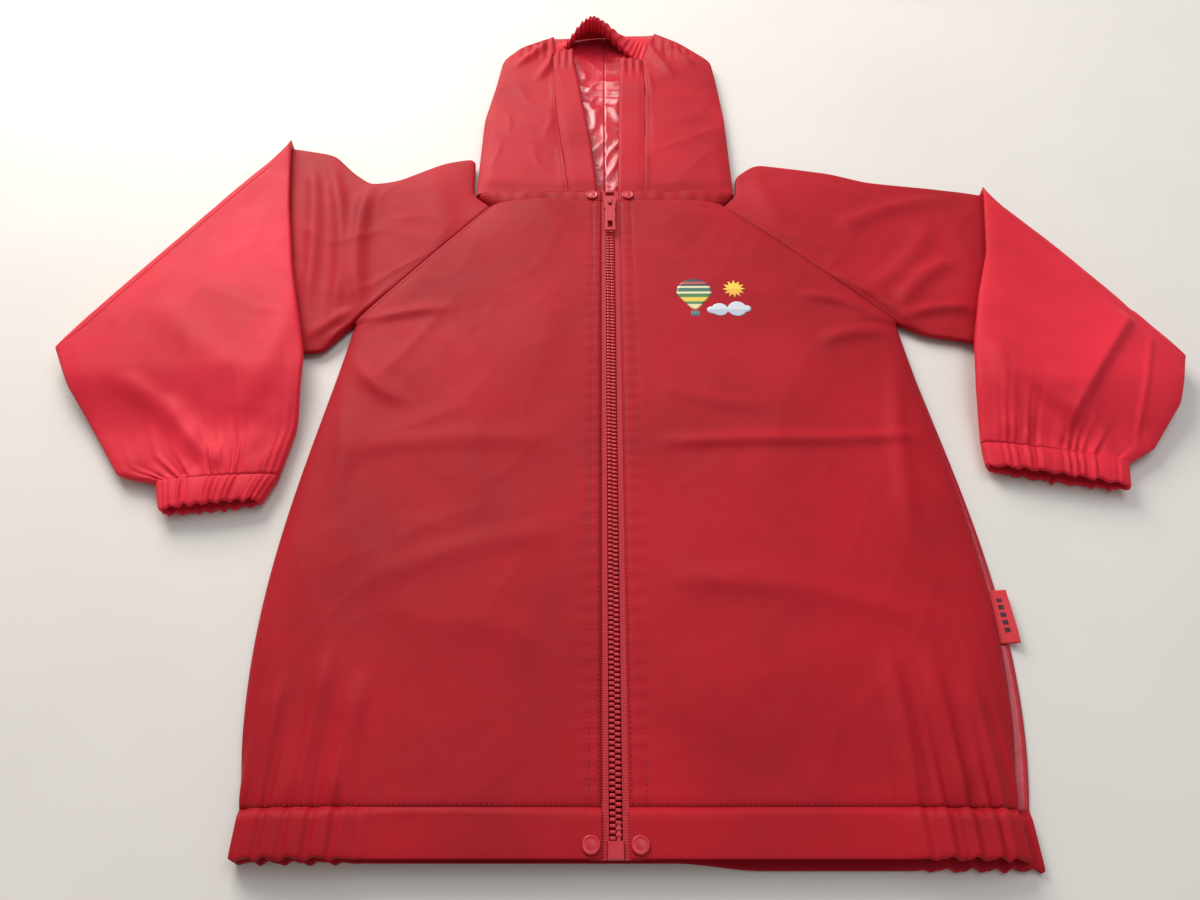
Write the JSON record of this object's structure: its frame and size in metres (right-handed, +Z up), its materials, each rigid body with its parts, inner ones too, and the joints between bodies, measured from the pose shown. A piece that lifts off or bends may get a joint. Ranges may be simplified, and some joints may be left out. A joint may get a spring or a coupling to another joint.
{
  "type": "foul weather jacket",
  "caption": "Child's hooded rain jacket of coated nylon with a front zip, press studs, raglan sleeves and elastic cuffs, laid flat on its back with the sleeves folded over.",
  "frame": {"origin": "underside of the back panel, on the zip line, halfway between the hem fold and the neck seam", "axes": "+X toward the wearer's left sleeve, +Y from hem to hood, +Z up off the surface that the jacket lies on"},
  "size_m": [0.7998, 0.7502, 0.0309],
  "materials": {
    "coated_cloth": "matt woven face with a thin waterproof coating",
    "elastic": "ribbed knitted elastic",
    "zip_tape": "woven polyester tape",
    "zip_plastic": "moulded, satin",
    "film": "clear heat-sealed film",
    "label": "woven satin label",
    "print_balloon": "heat-transfer print",
    "print_sun": "heat-transfer print",
    "print_cloud": "heat-transfer print"
  },
  "bodies": {
    "jacket": {"back_panel": "coated_cloth", "front_panel_right": "coated_cloth", "front_panel_left": "coated_cloth", "hem_casing_back": "coated_cloth", "hem_casing_front_right": "coated_cloth", "hem_casing_front_left": "coated_cloth", "hem_elastic_back_right": "elastic", "hem_elastic_back_left": "elastic", "hem_elastic_front_right": "elastic", "hem_elastic_front_left": "elastic", "neck_band_right": "coated_cloth", "neck_band_left": "coated_cloth", "neck_band_back": "coated_cloth", "hanging_loop": "coated_cloth", "right_upper_sleeve": "coated_cloth", "left_upper_sleeve": "coated_cloth", "zip_tape_right": "zip_tape", "zip_tape_left": "zip_tape", "zip_teeth_right": "zip_plastic", "zip_teeth_left": "zip_plastic", "top_stop_right": "zip_plastic", "top_stop_left": "zip_plastic", "end_film_right": "film", "end_film_left": "film", "insertion_pin": "zip_plastic", "retainer_box": "zip_plastic", "wind_flap": "coated_cloth", "hem_stud_cap_right": "zip_plastic", "hem_stud_cap_left": "zip_plastic", "hem_stud_socket_right": "zip_plastic", "hem_stud_socket_left": "zip_plastic", "neck_stud_cap_right": "zip_plastic", "neck_stud_cap_left": "zip_plastic", "neck_stud_socket_right": "zip_plastic", "neck_stud_socket_left": "zip_plastic", "side_label": "label", "print_balloon": "print_balloon", "print_sun": "print_sun", "print_cloud": "print_cloud"},
    "hood": {"hood_panel_right": "coated_cloth", "hood_panel_left": "coated_cloth", "hood_facing_right": "coated_cloth", "hood_facing_left": "coated_cloth", "hood_brim_casing": "coated_cloth", "hood_brim_elastic": "elastic"},
    "right_forearm": {"right_lower_sleeve": "coated_cloth", "right_cuff": "coated_cloth", "right_cuff_elastic": "elastic"},
    "left_forearm": {"left_lower_sleeve": "coated_cloth", "left_cuff": "coated_cloth", "left_cuff_elastic": "elastic"},
    "slider": {"slider_body": "zip_plastic"},
    "puller": {"puller": "zip_plastic"}
  },
  "joints": [
    {"name": "zip_slide", "type": "slide", "parent": "jacket", "child": "slider", "axis": [0, -1, 0], "range_m": [0, 0.474]},
    {"name": "puller_flip", "type": "hinge", "parent": "slider", "child": "puller", "pos_m": [0, 0.2435, 0.0153], "axis": [-1, 0, 0], "range_deg": [0, 110]},
    {"name": "hood_lift", "type": "hinge", "parent": "jacket", "child": "hood", "pos_m": [-0.004, 0.25905, 0.0132], "axis": [1, 0, 0], "range_deg": [0, 90]},
    {"name": "right_sleeve_unfold", "type": "hinge", "parent": "jacket", "child": "right_forearm", "pos_m": [-0.334, 0.2061, 0.00915], "axis": [-0.462, -0.8869, 0], "range_deg": [0, 180]},
    {"name": "left_sleeve_unfold", "type": "hinge", "parent": "jacket", "child": "left_forearm", "pos_m": [0.3555, 0.1716, 0.00915], "axis": [-0.4795, 0.8776, 0], "range_deg": [0, 180]}
  ]
}
